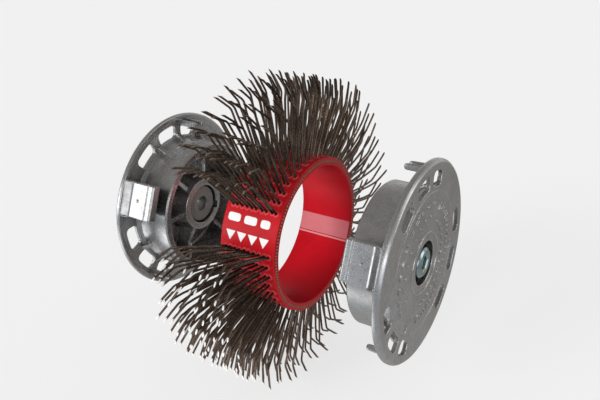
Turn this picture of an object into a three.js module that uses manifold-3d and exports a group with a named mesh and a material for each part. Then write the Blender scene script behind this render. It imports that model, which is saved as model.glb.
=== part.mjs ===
// Rotary wire-bristle brush: a wire belt with a two-part clamping hub, laid out
// along the brush axis (+X) as an exploded assembly. +Z is up, millimetres.
// The origin is on the brush axis, midway between the two ends of the laid-out set.
// Inner hub half at -X, belt in the middle, outer hub half with its screw at +X.
//
// Names ending in _R are radii. Angles are in degrees about +X: 0 is +Y, 90 is +Z.
// A span is [from, to] along X; radii are [inner, outer].

import * as THREE from 'three';
import { mergeVertices } from 'three/addons/utils/BufferGeometryUtils.js';
import Module from 'manifold-3d';

// ------------------------------------------------------------------- layout
const X_INNER = -52.25;         // drum root plane of the inner hub
const X_BELT = 2.0;             // middle of the belt width
const X_OUTER = 53.2;           // drum root plane of the outer hub
const LUG_ANGLE = 160;          // direction of the clamp lugs
const OPPOSITE_LUG = LUG_ANGLE + 180;

// Wire rows, spread evenly and leaving a bare window centred on the lug
const ROWS = 45;
const ROW_PITCH = 7.5;
const ROW_FIRST = (360 - (ROWS - 1) * ROW_PITCH) / 2;   // from the lug
const rowAngle = (row) => LUG_ANGLE + ROW_FIRST + ROW_PITCH * row;

// ---------------------------------------------------------------- materials
const ALUMINIUM = { color: 0x9c9a97, roughness: 0.42, metalness: 0.9 };
const STEEL = { color: 0x8d8d90, roughness: 0.35, metalness: 0.95 };
const ZINC = { color: 0x8fa6ae, roughness: 0.25, metalness: 0.95 };
const RED = { color: 0xb9121f, roughness: 0.38, metalness: 0.0 };
const WOVEN = { color: 0x6d4c3d, roughness: 0.9, metalness: 0.0 };
const PALE = { color: 0xd87880, roughness: 0.5, metalness: 0.0 };
const WIRE = { color: 0x4a403a, roughness: 0.45, metalness: 0.85 };

// ------------------------------------------------------------------ helpers
const wasm = await Module();
wasm.setup();
const RAD = Math.PI / 180;

// Closed manifold from a geometry, welded and wound so that its volume is positive.
function solid(geometry) {
  const bare = geometry.clone();
  bare.deleteAttribute('normal');
  bare.deleteAttribute('uv');
  const welded = mergeVertices(bare, 1e-5);
  const positions = welded.attributes.position.array;
  const index = welded.index.array;
  const corner = (i) => new THREE.Vector3().fromArray(positions, i * 3);

  const triangles = [];
  let volume = 0;
  for (let i = 0; i < index.length; i += 3) {
    const [a, b, c] = index.slice(i, i + 3);
    if (a === b || b === c || a === c) continue;
    triangles.push([a, b, c]);
    volume += corner(a).dot(corner(b).cross(corner(c)));
  }
  const wound = volume < 0 ? triangles.map(([a, b, c]) => [b, a, c]) : triangles;
  return new wasm.Manifold(new wasm.Mesh({
    numProp: 3,
    vertProperties: new Float32Array(positions),
    triVerts: new Uint32Array(wound.flat()),
  }));
}

function toGeometry(manifold) {
  const mesh = manifold.getMesh();
  const geometry = new THREE.BufferGeometry();
  const positions = new Float32Array(mesh.vertProperties);
  geometry.setAttribute('position', new THREE.BufferAttribute(positions, 3));
  geometry.setIndex(new THREE.BufferAttribute(new Uint32Array(mesh.triVerts), 1));
  return geometry;
}

// Profile of [radius, x] points turned about the X axis, as it stands.
function turned(profile, facets) {
  const points = profile.map(([radius, x]) => new THREE.Vector2(radius, x));
  return new THREE.LatheGeometry(points, facets).rotateZ(-Math.PI / 2);
}

// Ring: the profile is closed back to its first point.
const ring = (profile, facets) => turned([...profile, profile[0]], facets);

function extruded(outline, depth) {
  const shape = new THREE.Shape(outline.map(([x, y]) => new THREE.Vector2(x, y)));
  shape.closePath();
  return new THREE.ExtrudeGeometry(shape, { depth, bevelEnabled: false });
}

// Plate across the axis, from an outline of [y, z] points.
function crossPlate(outline, [xFrom, xTo]) {
  // outline y -> Y, outline z -> Z, depth -> X
  return extruded(outline, xTo - xFrom).applyMatrix4(new THREE.Matrix4().set(
    0, 0, 1, xFrom,
    1, 0, 0, 0,
    0, 1, 0, 0,
    0, 0, 0, 1));
}

// Plate along the axis, standing at one angle, from an outline of [x, radius] points.
function radialPlate(angle, outline, width) {
  return extruded(outline, width).translate(0, 0, -width / 2).rotateX(angle * RAD);
}

// Solid box standing at one angle.
function radialBlock(angle, { radii: [innerR, outerR], width, span: [xFrom, xTo] }) {
  const box = new THREE.BoxGeometry(xTo - xFrom, outerR - innerR, width);
  box.translate((xFrom + xTo) / 2, (innerR + outerR) / 2, 0);
  return solid(box.rotateX(angle * RAD));
}

const polar = (angle, radius) => [
  radius * Math.cos(angle * RAD),
  radius * Math.sin(angle * RAD),
];

function arcPoints(from, to, radius, steps) {
  return Array.from({ length: steps + 1 },
    (_, i) => polar(from + (to - from) * i / steps, radius));
}

const root = new THREE.Group();
root.name = 'wire_belt_brush';

function addGroup() {
  const group = new THREE.Group();
  root.add(group);
  return group;
}

function add(group, name, geometry, finish, x) {
  const mesh = new THREE.Mesh(geometry, new THREE.MeshStandardMaterial(finish));
  mesh.name = name;
  mesh.position.x = x;
  group.add(mesh);
}

// -------------------------------------------------------------- hub castings
// Both halves are built with the drum root plane at x = 0 and the drum towards +x.
// The outer half is mirrored at the end, so that the two drums face each other.
const HUB_FACETS = 48;
const FLANGE_R = 36.5;
const FLANGE_T = 3.0;           // flange outer face, behind the drum root plane
const FLANGE_CHAMFER = 0.6;
const RIM_LIP = -0.4;           // x of the raised lip at the flange edge
const BAND_FLOOR = -1.3;        // x of the slotted band between drum and lip
const DRUM_R = 26.2;            // drum that carries the belt
const DRUM_WALL_R = 23.4;       // inside of the drum at its free end
const DRUM_L = 13.9;

// Flange and drum shared by both halves, [radius, x]
const RIM_AND_DRUM = [
  [FLANGE_R - FLANGE_CHAMFER, -FLANGE_T], [FLANGE_R, FLANGE_CHAMFER - FLANGE_T],
  [FLANGE_R, RIM_LIP], [34.5, RIM_LIP],
  [33.5, BAND_FLOOR], [27.2, BAND_FLOOR],
  [DRUM_R, 0.3], [DRUM_R, DRUM_L - 0.6],
  [DRUM_R - 0.5, DRUM_L], [DRUM_WALL_R, DRUM_L], [DRUM_WALL_R - 0.5, 0],
];

// Prongs on both sides of the lug, midway between wire rows
const PRONG = { radii: [31.9, 34.3], width: 1.6, span: [-2.0, 7.4] };
const PRONG_ANGLES = [7.5, 8.5].map((row) => ROW_FIRST + row * ROW_PITCH);  // from the lug
const PRONG_SHIFT = -1.5;       // puts each prong midway between two leaning wires

// Clamp lug with a lead-in chamfer on its free end and a foot on the flange
const LUG_W = 13.8;
const LUG_L = 12.6;
const LUG_INNER_R = 29.9;
const LUG_OUTER_R = 33.9;
const LUG_ROOT = -2.0;          // x where the lug starts, inside the flange
const LUG_FOOT_R = LUG_OUTER_R + 1.5;
const LUG_OUTLINE = [           // [x, radius]
  [LUG_ROOT, LUG_INNER_R],
  [LUG_L - 0.8, LUG_INNER_R], [LUG_L, LUG_INNER_R + 0.7],
  [LUG_L, LUG_OUTER_R - 0.6], [LUG_L - 0.6, LUG_OUTER_R],
  [2.0, LUG_OUTER_R], [-0.4, LUG_FOOT_R], [LUG_ROOT, LUG_FOOT_R],
];

// Rim slots, [centre from the lug, half arc]
const PAIRED_SLOTS = [[33, 9.2], [59, 9.2], [81.5, 7.4], [150, 9.2]];
const SLOTS = [
  ...PAIRED_SLOTS.flatMap(([centre, half]) => [[centre, half], [-centre, half]]),
  [180, 9.2],
];
const SLOT_INNER_R = 27.3;
const SLOT_OUTER_R = 32.6;
const FLANGE_CUT = [-FLANGE_T - 1, 1.5];    // span of a cut right through the flange

// Shape of a slot end, in fractions
const SLOT_END = {
  length: 0.72,                 // of the half width: where the long sides stop
  inset: 0.12,                  // of the end length: gap left at the tip
  spread: 0.55,                 // of the half width: tip corners off the mid radius
};

// Curved slot outline with blunted ends.
function slotOutline(centre, half) {
  const steps = 3;
  const midR = (SLOT_INNER_R + SLOT_OUTER_R) / 2;
  const halfWidth = (SLOT_OUTER_R - SLOT_INNER_R) / 2;
  const endArc = halfWidth * SLOT_END.length / midR / RAD;
  const inset = endArc * SLOT_END.inset;
  const nearR = midR - halfWidth * SLOT_END.spread;
  const farR = midR + halfWidth * SLOT_END.spread;
  const start = centre - half;
  const end = centre + half;
  return [
    ...arcPoints(start + endArc, end - endArc, SLOT_OUTER_R, steps),
    polar(end - inset, farR), polar(end - inset, nearR),
    ...arcPoints(end - endArc, start + endArc, SLOT_INNER_R, steps),
    polar(start + inset, nearR), polar(start + inset, farR),
  ];
}

// Turned hub body with its prongs, clamp lug and rim slots.
function hubBody(profile) {
  let body = solid(ring(profile, HUB_FACETS));
  for (const side of [1, -1]) {
    for (const angle of PRONG_ANGLES) {
      body = body.add(radialBlock(LUG_ANGLE + side * angle + PRONG_SHIFT, PRONG));
    }
  }
  body = body.add(solid(radialPlate(LUG_ANGLE, LUG_OUTLINE, LUG_W)));
  for (const [centre, half] of SLOTS) {
    const outline = slotOutline(LUG_ANGLE + centre, half);
    body = body.subtract(solid(crossPlate(outline, FLANGE_CUT)));
  }
  return body;
}

// Stiffening ribs between the centre and the drum wall
const RIBS = 6;
const RIB_W = 1.6;
const RIB_END_R = 23.9;         // buried in the drum wall

function addRibs(body, outline) {
  let ribbed = body;
  for (let k = 0; k < RIBS; k++) {
    const angle = LUG_ANGLE + (k + 0.5) * 360 / RIBS;
    ribbed = ribbed.add(solid(radialPlate(angle, outline, RIB_W)));
  }
  return ribbed;
}

// ----------------------------------------------------------- inner hub half
const BOSS_R = 10.8;            // centre boss at its free end
const BOSS_L = 10.5;
const BUSH_BORE_R = 8.0;        // casting bore that holds the drive bush
const INNER_RIB = [             // [x, radius]
  [-0.5, 10.0], [8.6, 10.0], [6.4, 17.0], [8.6, RIB_END_R], [-0.5, RIB_END_R],
];
// Window through the flange, just inside the lug radius
const LUG_WINDOW = { radii: [27.4, 29.6], width: 8.4, span: FLANGE_CUT };
// Keying notch of the bush seat
const KEY_NOTCH = { radii: [6.5, 9.4], width: 3.0, span: [-FLANGE_T - 1, BOSS_L + 1] };

function innerCasting() {
  const body = hubBody([
    [BUSH_BORE_R, -FLANGE_T],
    ...RIM_AND_DRUM,
    [11.4, 0], [BOSS_R, BOSS_L], [BUSH_BORE_R, BOSS_L],
  ]);
  const windowed = body.subtract(radialBlock(LUG_ANGLE, LUG_WINDOW));
  return toGeometry(
    addRibs(windowed, INNER_RIB).subtract(radialBlock(OPPOSITE_LUG, KEY_NOTCH)));
}

// Drive bush: spindle socket at its -X end, screw bore at its +X end
const BUSH_FACETS = 32;
const BUSH_R = 7.7;
const BUSH_BACK = -4.0;         // x of the socket end
const BUSH_FRONT = 9.5;         // x of the screw end
const SPINDLE_R = 5.0;
const SCREW_BORE_R = 3.1;
const BUSH_KEY = { radii: [6.6, 9.0], width: 2.4, span: [-2.4, 8.8] };
const SOCKET_FLAT = { radii: [4.2, 6.0], width: 5.4, span: [BUSH_BACK, 2.4] };

function driveBush() {
  const body = solid(ring([
    [SPINDLE_R, BUSH_BACK], [BUSH_R, BUSH_BACK],
    [BUSH_R, BUSH_FRONT - 0.5], [BUSH_R - 0.5, BUSH_FRONT],
    [SCREW_BORE_R, BUSH_FRONT], [SCREW_BORE_R, 3.2], [SPINDLE_R, 2.6],
  ], BUSH_FACETS));
  return toGeometry(body
    .add(radialBlock(OPPOSITE_LUG, BUSH_KEY))
    .add(radialBlock(90, SOCKET_FLAT))
    .add(radialBlock(270, SOCKET_FLAT)));
}

// ----------------------------------------------------------- outer hub half
const RECESS_R = 7.9;           // screw recess
const RECESS_FLOOR = 1.0;       // x before mirroring
const SCREW_HOLE_R = 3.5;
const TUBE_R = 6.3;             // centre tube round the screw
const TUBE_L = 13.0;
const OUTER_RIB = [             // [x, radius], before mirroring
  [1.8, 6.0], [8.6, 6.0], [6.4, 15.0], [8.6, RIB_END_R], [-0.6, RIB_END_R], [-0.6, 9.6],
];

function outerCasting() {
  const body = hubBody([
    [SCREW_HOLE_R, RECESS_FLOOR], [RECESS_R, RECESS_FLOOR], [RECESS_R, -FLANGE_T],
    ...RIM_AND_DRUM,
    [10.6, 0], [9.0, 4.6], [TUBE_R, 5.0], [TUBE_R, TUBE_L], [SCREW_HOLE_R, TUBE_L],
  ]);
  return toGeometry(addRibs(body, OUTER_RIB).mirror([1, 0, 0]));
}

// Cup washer under the screw head, [radius, x]
const WASHER_FACETS = 32;
const WASHER_PROFILE = [[3.4, -0.75], [6.6, -0.75], [7.3, -0.35], [7.0, 0.0], [3.4, 0.0]];

// Socket head clamp screw, pointing to -X
const SCREW_FACETS = 24;
const SCREW_R = 3.0;
const SCREW_END = -25.0;
const SCREW_CHAMFER = 0.6;
const HEAD_R = 5.6;
const HEAD_SEAT = 0.15;         // x of the underside of the head
const HEAD_TOP = HEAD_SEAT + 2.9;
const HEX_R = 2.9;              // across the corners of the hexagon socket, halved
const HEX_SPAN = [0.9, 4.5];

function clampScrew() {
  const body = solid(turned([
    [0, HEAD_TOP], [4.9, HEAD_TOP], [HEAD_R, 2.5], [HEAD_R, 0.3], [5.4, HEAD_SEAT],
    [SCREW_R, HEAD_SEAT], [SCREW_R, SCREW_END + SCREW_CHAMFER],
    [SCREW_R - SCREW_CHAMFER, SCREW_END], [0, SCREW_END],
  ], SCREW_FACETS));
  const [xFrom, xTo] = HEX_SPAN;
  const hexagon = new THREE.CylinderGeometry(HEX_R, HEX_R, xTo - xFrom, 6);
  hexagon.rotateZ(-Math.PI / 2).translate((xFrom + xTo) / 2, 0, 0);
  return toGeometry(body.subtract(solid(hexagon)));
}

// --------------------------------------------------------------- belt plies
const BELT_FACETS = 48;
const BELT_HALF_W = 23.0 / 2;
const BELT_EDGE = BELT_HALF_W - 0.3;        // where the edge chamfers start
const BELT_OUTER_R = 29.5;
const BELT_INNER_R = 26.5;
const OUTER_PLY_R = 28.35;      // inside of the outer ply
const WOVEN_RADII = [27.85, 28.25];
const INNER_PLY_R = 27.75;      // outside of the inner ply
const ROW_SLOT = { radii: [27, 31], width: 1.5, span: [-9.5, 9.5] };

// Splice strip and its pocket inside the belt, opposite the bare window
const STRIP = { half: 9.3, radii: [BELT_INNER_R, 26.9], span: [-11.2, 11.2] };
const STRIP_POCKET = { half: 9.9, radii: [25.5, 27.0], span: [-12, 12] };

function outerPly() {
  const chamferR = BELT_OUTER_R - 0.2;
  let ply = solid(ring([
    [OUTER_PLY_R, -BELT_HALF_W], [chamferR, -BELT_HALF_W], [BELT_OUTER_R, -BELT_EDGE],
    [BELT_OUTER_R, BELT_EDGE], [chamferR, BELT_HALF_W], [OUTER_PLY_R, BELT_HALF_W],
  ], BELT_FACETS));
  for (let row = 0; row < ROWS; row++) {
    ply = ply.subtract(radialBlock(rowAngle(row), ROW_SLOT));
  }
  return toGeometry(ply);
}

function wovenPly() {
  const [innerR, outerR] = WOVEN_RADII;
  return ring([
    [innerR, -BELT_HALF_W], [outerR, -BELT_HALF_W],
    [outerR, BELT_HALF_W], [innerR, BELT_HALF_W],
  ], BELT_FACETS);
}

function innerPly() {
  const chamferR = BELT_INNER_R + 0.3;
  const ply = solid(ring([
    [BELT_INNER_R, -BELT_EDGE], [chamferR, -BELT_HALF_W], [INNER_PLY_R, -BELT_HALF_W],
    [INNER_PLY_R, BELT_HALF_W], [chamferR, BELT_HALF_W], [BELT_INNER_R, BELT_EDGE],
  ], BELT_FACETS));
  return toGeometry(ply.subtract(solid(plateSector(STRIP_POCKET))));
}

// Curved plate opposite the lug.
function plateSector({ half, radii: [innerR, outerR], span }) {
  const steps = 6;
  const start = OPPOSITE_LUG - half;
  const end = OPPOSITE_LUG + half;
  return crossPlate([
    ...arcPoints(start, end, outerR, steps),
    ...arcPoints(end, start, innerR, steps),
  ], span);
}

// ---------------------------------------------------------------- wire rows
const WIRE_D = 0.8;
const WIRE_SIDES = 3;
const WIRE_ROOT = { radius: 28.75, offset: 0.12 };  // offset: across the row direction
const KNEE_R = 51.0;            // where a wire bends
const KNEE_OFFSET = -5.0;       // a shank leans 13 degrees back from the radius
const TIP_R = 57.6;
const TIP_OFFSET = -1.9;        // a tip bends forward by about 38 degrees
const TILT = { root: -0.23, knee: 0.10, tip: 0.44 };    // cross-section tilt, radians
const SPLAY = 0.38;             // sideways spread at the knee, per mm from the belt middle
const SWEEP = -2.4;             // sideways lean of the whole field at the knee, towards -X
const TIP_FLARE = 1.25;         // sideways shift at the tip, relative to the knee
const SPREAD = { flare: 0.35, knee: 0.9, tip: 0.9, tipOffset: 0.4 };    // wobble, mm
const FOOT_BAR = { radii: [28.5, 29.1], width: WIRE_D, span: [-9.15, 9.15] };
const WIRE_X = [                // wire places across the belt, in alternate rows
  [-6.4, -2.2, 2.2, 4.2, 8.6],
  [-8.6, -4.2, -2.2, 2.2, 6.4],
];

// Repeatable spread from -1 to 1, so that neighbouring rows differ a little.
function wobble(seed) {
  const hash = Math.sin(seed * 127.1 + 11.7) * 43758.5453;
  return (hash - Math.floor(hash)) * 2 - 1;
}

// One wire: three-sided bar with a straight shank and a bent tip.
// Built for a row that points along +Y, leaning towards -Z, with tips bent towards +Z.
function wire({ x, flare, kneeR, tipR, tipOffset }) {
  const stations = [            // centre x, y, z and tilt
    [x, WIRE_ROOT.radius, WIRE_ROOT.offset, TILT.root],
    [x + flare, kneeR, KNEE_OFFSET, TILT.knee],
    [x + flare * TIP_FLARE, tipR, tipOffset, TILT.tip],
  ];
  const positions = stations.flatMap(([cx, cy, cz, tilt]) => {
    const section = [];
    for (let k = 0; k < WIRE_SIDES; k++) {
      const [side, across] = polar(90 + 360 / WIRE_SIDES * k, WIRE_D / 2);
      section.push(cx + side, cy - across * Math.sin(tilt), cz + across * Math.cos(tilt));
    }
    return section;
  });
  const index = [0, 2, 1];
  const last = (stations.length - 1) * WIRE_SIDES;
  for (let base = 0; base < last; base += WIRE_SIDES) {
    for (let k = 0; k < WIRE_SIDES; k++) {
      const here = base + k;
      const next = base + (k + 1) % WIRE_SIDES;
      index.push(here, next, next + WIRE_SIDES, here, next + WIRE_SIDES, here + WIRE_SIDES);
    }
  }
  index.push(last, last + 1, last + 2);
  const geometry = new THREE.BufferGeometry();
  geometry.setAttribute('position', new THREE.Float32BufferAttribute(positions, 3));
  geometry.setIndex(index);
  return geometry;
}

// Foot bar with its five wires.
function wireRow(row) {
  let body = radialBlock(0, FOOT_BAR);
  WIRE_X[row % 2].forEach((x, j) => {
    const sideways = wobble(row * 7 + j);
    const along = wobble(row * 13 + j * 3 + 200);
    body = body.add(solid(wire({
      x,
      flare: x * SPLAY + SWEEP + sideways * SPREAD.flare,
      kneeR: KNEE_R + along * SPREAD.knee,
      tipR: TIP_R - Math.abs(sideways) * SPREAD.tip,
      tipOffset: TIP_OFFSET + along * SPREAD.tipOffset,
    })));
  });
  return toGeometry(body).rotateX(rowAngle(row) * RAD);
}

// ----------------------------------------------------------------- assembly
const innerHub = addGroup();
add(innerHub, 'inner_hub_casting', innerCasting(), ALUMINIUM, X_INNER);
add(innerHub, 'drive_bush', driveBush(), STEEL, X_INNER);

const outerHub = addGroup();
add(outerHub, 'outer_hub_casting', outerCasting(), ALUMINIUM, X_OUTER);
add(outerHub, 'cup_washer', ring(WASHER_PROFILE, WASHER_FACETS), ZINC, X_OUTER);
add(outerHub, 'clamp_screw', clampScrew(), ZINC, X_OUTER);

const belt = addGroup();
add(belt, 'belt_outer_ply', outerPly(), RED, X_BELT);
add(belt, 'belt_woven_ply', wovenPly(), WOVEN, X_BELT);
add(belt, 'belt_inner_ply', innerPly(), RED, X_BELT);
add(belt, 'belt_splice_strip', plateSector(STRIP), PALE, X_BELT);
for (let row = 0; row < ROWS; row++) {
  const number = String(row + 1).padStart(2, '0');
  add(belt, `wire_row_${number}`, wireRow(row), WIRE, X_BELT);
}

export default root;
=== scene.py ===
"""Wire belt brush: two cast hubs clamp a belt set with rows of bent wires.

The axis of the brush is X. The inner hub is at the low X end and the outer hub, with the screw,
at the high X end. Angles are in degrees about X, from +Y towards +Z. Lengths are in millimetres
until a mesh is made. Single pieces are built in a local frame of (x, radius, tangent) and turned
into place.
"""
import math
import random
from functools import cached_property

import bpy
import bmesh
from mathutils import Matrix, Vector


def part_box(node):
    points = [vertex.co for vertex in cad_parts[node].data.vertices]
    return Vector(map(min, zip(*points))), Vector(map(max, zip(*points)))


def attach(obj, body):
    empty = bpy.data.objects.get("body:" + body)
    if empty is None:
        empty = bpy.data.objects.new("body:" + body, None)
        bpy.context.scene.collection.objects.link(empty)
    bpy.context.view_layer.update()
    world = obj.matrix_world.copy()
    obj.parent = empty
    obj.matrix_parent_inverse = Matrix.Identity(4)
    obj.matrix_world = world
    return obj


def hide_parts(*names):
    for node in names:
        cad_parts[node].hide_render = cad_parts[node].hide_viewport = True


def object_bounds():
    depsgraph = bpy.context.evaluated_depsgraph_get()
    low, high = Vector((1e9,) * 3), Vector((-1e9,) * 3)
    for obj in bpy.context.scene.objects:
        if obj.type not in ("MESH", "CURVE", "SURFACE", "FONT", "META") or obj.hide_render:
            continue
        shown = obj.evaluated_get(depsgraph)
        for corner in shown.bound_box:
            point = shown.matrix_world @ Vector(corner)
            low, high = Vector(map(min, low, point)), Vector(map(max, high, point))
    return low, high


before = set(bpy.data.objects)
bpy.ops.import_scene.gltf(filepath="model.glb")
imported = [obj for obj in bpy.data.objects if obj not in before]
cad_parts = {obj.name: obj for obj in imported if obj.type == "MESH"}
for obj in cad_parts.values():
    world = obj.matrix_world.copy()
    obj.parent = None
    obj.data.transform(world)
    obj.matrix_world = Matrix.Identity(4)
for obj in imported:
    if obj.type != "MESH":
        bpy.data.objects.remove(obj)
cad_lo, cad_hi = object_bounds()
scene = bpy.context.scene
MM = 0.001                  # metres
DEG = math.pi / 180         # radians
rng = random.Random(7)

# ------------------------------------------------------------ main dimensions
FLANGE_T = 3.0
X_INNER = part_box("inner_hub_casting")[0].x / MM + FLANGE_T      # inner face of each flange
X_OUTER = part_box("outer_hub_casting")[1].x / MM - FLANGE_T
belt_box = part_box("belt_outer_ply")
X_BELT = (belt_box[0].x + belt_box[1].x) / 2 / MM
BELT_HALF = (belt_box[1].x - belt_box[0].x) / 2 / MM
BELT_R = 29.5               # outside of the belt
ROOT_R = 29.4               # just under it, where wires and print start
LUG = 160.0                 # angle of the clamp lugs
SPLICE = LUG + 180          # angle of the belt splice, opposite the lugs
ROWS, ROW_PITCH, FIRST_ROW = 45, 7.5, 15.0      # FIRST_ROW is counted from the lug


# ------------------------------------------------------------------ geometry
# A part is a pair (vertices, faces).
def make(name, part, materials=(), material_index=None):
    verts, faces = part
    mesh = bpy.data.meshes.new(name)
    mesh.from_pydata([(x * MM, y * MM, z * MM) for x, y, z in verts], [], faces)
    for material in materials:
        mesh.materials.append(material)
    if material_index is not None:
        mesh.polygons.foreach_set("material_index", material_index)
    mesh.polygons.foreach_set("use_smooth", [True] * len(mesh.polygons))
    mesh.update()
    ob = bpy.data.objects.new(name, mesh)
    scene.collection.objects.link(ob)
    return ob


def solid(name, part, materials=()):
    """Object with merged points, no degenerate faces and normals outwards."""
    ob = make(name, part, materials)
    bm = bmesh.new()
    bm.from_mesh(ob.data)
    bmesh.ops.remove_doubles(bm, verts=bm.verts, dist=1e-8)
    bmesh.ops.dissolve_degenerate(bm, edges=bm.edges, dist=1e-9)
    bmesh.ops.recalc_face_normals(bm, faces=bm.faces)
    bm.to_mesh(ob.data)
    bm.free()
    return ob


def rect(a0, a1, b0, b1, low=0, high=None):
    """Corners (a, b, corner radius); low and high are the radii at a0 and at a1."""
    high = low if high is None else high
    return [(a0, b0, low), (a1, b0, high), (a1, b1, high), (a0, b1, low)]


def rounded(corners, steps=4):
    """Closed outline from corners (a, b, corner radius), arcs in place of the corners."""
    out = []
    for i, (a, b, radius) in enumerate(corners):
        if radius <= 0:
            out.append((a, b))
            continue
        corner = Vector((a, b))
        before = Vector(corners[i - 1][:2]) - corner
        after = Vector(corners[(i + 1) % len(corners)][:2]) - corner
        len_before, len_after = before.length, after.length
        before, after = before / len_before, after / len_after
        angle = math.acos(before.dot(after))
        # the arc takes less than half of each side
        setback = min(radius / math.tan(angle / 2), 0.46 * len_before, 0.46 * len_after)
        fitted = setback * math.tan(angle / 2)
        centre = corner + (before + after).normalized() * (fitted / math.sin(angle / 2))
        start = corner + before * setback - centre
        end = corner + after * setback - centre
        start_angle = math.atan2(start.y, start.x)
        sweep = math.remainder(math.atan2(end.y, end.x) - start_angle, math.tau)
        for k in range(steps + 1):
            at = start_angle + sweep * k / steps
            out.append((centre.x + fitted * math.cos(at), centre.y + fitted * math.sin(at)))
    return out


def split(profile, longest):
    """Adds points so that no step of the closed profile is much longer than this."""
    out = []
    for i, p in enumerate(profile):
        q = profile[(i + 1) % len(profile)]
        out.append(p)
        extra = int(math.hypot(q[0] - p[0], q[1] - p[1]) / longest)
        for j in range(1, extra + 1):
            t = j / (extra + 1)
            out.append((p[0] + (q[0] - p[0]) * t, p[1] + (q[1] - p[1]) * t))
    return out


def lathe(profile, segments, closed=True, wave=None):
    """Profile of (radius, x) turned about the axis; wave(angle, radius, x) may shift points."""
    verts, faces = [], []
    n = len(profile)
    for s in range(segments):
        angle = 2 * math.pi * s / segments
        for r, x in profile:
            if wave:
                r, x = wave(angle, r, x)
            verts.append((x, r * math.cos(angle), r * math.sin(angle)))
    for s in range(segments):
        t = (s + 1) % segments
        for i in range(n if closed else n - 1):
            j = (i + 1) % n
            faces.append((s * n + i, t * n + i, t * n + j, s * n + j))
    return verts, faces


def join(parts):
    verts, faces = [], []
    for part_verts, part_faces in parts:
        offset = len(verts)
        verts += part_verts
        faces += [tuple(i + offset for i in face) for face in part_faces]
    return verts, faces


def tube(rings):
    """Walls between closed rings of the same count, open at the ends."""
    n = len(rings[0])
    faces = []
    for s in range(len(rings) - 1):
        for i in range(n):
            j = (i + 1) % n
            faces.append((s * n + i, s * n + j, (s + 1) * n + j, (s + 1) * n + i))
    return [p for ring in rings for p in ring], faces


def loft(rings):
    """Tube capped at both ends; the last face is the end cap."""
    verts, faces = tube(rings)
    n = len(rings[0])
    faces.append(tuple(range(n - 1, -1, -1)))
    faces.append(tuple(range(len(verts) - n, len(verts))))
    return verts, faces


def turn(part, degrees):
    """Turns a part about the axis."""
    verts, faces = part
    c, s = math.cos(degrees * DEG), math.sin(degrees * DEG)
    return [(x, y * c - z * s, y * s + z * c) for x, y, z in verts], faces


def to_belt(part):
    """Moves a part from x = 0 to the middle of the belt."""
    verts, faces = part
    return [(x + X_BELT, y, z) for x, y, z in verts], faces


def circle(x, radius, step, y=0):
    """Ring round a line along X; step is in degrees."""
    return [(x, y + radius * math.cos(t * DEG), radius * math.sin(t * DEG))
            for t in range(0, 360, step)]


def soft_block(outline, width, edge, steps=3):
    """Outline in (x, radius) made width wide along the tangent, with round long edges."""
    centre_x = sum(p[0] for p in outline) / len(outline)
    centre_r = sum(p[1] for p in outline) / len(outline)

    def ring(z, inset):
        out = []
        for i, (x, r) in enumerate(outline):
            before, after = outline[i - 1], outline[(i + 1) % len(outline)]
            along = Vector((after[0] - before[0], after[1] - before[1])).normalized()
            nx, nr = -along.y, along.x
            if (centre_x - x) * nx + (centre_r - r) * nr < 0:
                nx, nr = -nx, -nr
            out.append((x + nx * inset, r + nr * inset, z))
        return out

    rings = []
    for k in range(steps + 1):
        a = 90 * DEG * k / steps
        rings.append(ring(-width / 2 + edge * (1 - math.cos(a)), edge * (1 - math.sin(a))))
    rings += [[(x, r, -z) for x, r, z in points] for points in reversed(rings)]
    return loft(rings)


def round_rect(half_a, half_b, corner, arc_steps, side_steps, divide_a):
    """Rounded rectangle about 0. The two sides along a, or else those along b, are divided."""
    points = []
    for sign_a, sign_b, start in ((1, 1, 0), (-1, 1, 90), (-1, -1, 180), (1, -1, 270)):
        a, b = sign_a * (half_a - corner), sign_b * (half_b - corner)
        for i in range(arc_steps + 1):
            angle = (start + 90 * i / arc_steps) * DEG
            points.append((a + corner * math.cos(angle), b + corner * math.sin(angle)))
        if (sign_a == sign_b) == divide_a:
            for i in range(1, side_steps):
                f = 1 - 2 * i / side_steps
                points.append((a * f, sign_b * half_b) if divide_a else (sign_a * half_a, b * f))
    return points


def arc_slot(centre, half, r0, r1, corner, stations, arc_steps=4):
    """Cutter of a curved slot. Stations are (x, growth) along the axis; half is in degrees."""
    mid_r, half_w = (r0 + r1) / 2, (r1 - r0) / 2
    rings = []
    for x, growth in stations:
        outline = round_rect(half * DEG * mid_r + growth, half_w + growth,
                             min(corner + growth, half_w + growth - 0.05), arc_steps, 7, True)
        ring = []
        for s, t in outline:
            a, r = centre * DEG + s / mid_r, mid_r + t
            ring.append((x, r * math.cos(a), r * math.sin(a)))
        rings.append(ring)
    return loft(rings)


def belt_plate(a0, a1, x0, x1, r_in, r_out, edge, corner):
    """Curved plate on the inside of the belt, its inner edges eased. Angles in degrees."""
    middle = (a0 + a1) / 2
    half_len = (a1 - a0) / 2 * DEG * r_in
    centre_x, half_x = (x0 + x1) / 2, (x1 - x0) / 2
    rings = []
    for r, inset in ((r_out, 0), (r_in + edge, 0), (r_in + edge * 0.3, edge * 0.3), (r_in, edge)):
        outline = round_rect(half_x - inset, half_len - inset, max(0.05, corner - inset),
                             3, 16, False)
        rings.append([(X_BELT + centre_x + s, r * math.cos(middle * DEG + t / r_in),
                       r * math.sin(middle * DEG + t / r_in)) for s, t in outline])
    verts, faces = tube(rings)
    # the caps are strips across the plate, so that they stay curved
    n = len(rings[0])
    for base, outward in ((0, False), (len(verts) - n, True)):
        for i in range(n // 2 - 1):
            quad = (base + 4 + i, base + 5 + i, base + (2 - i) % n, base + (3 - i) % n)
            faces.append(quad if outward else quad[::-1])
    return verts, faces


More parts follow.
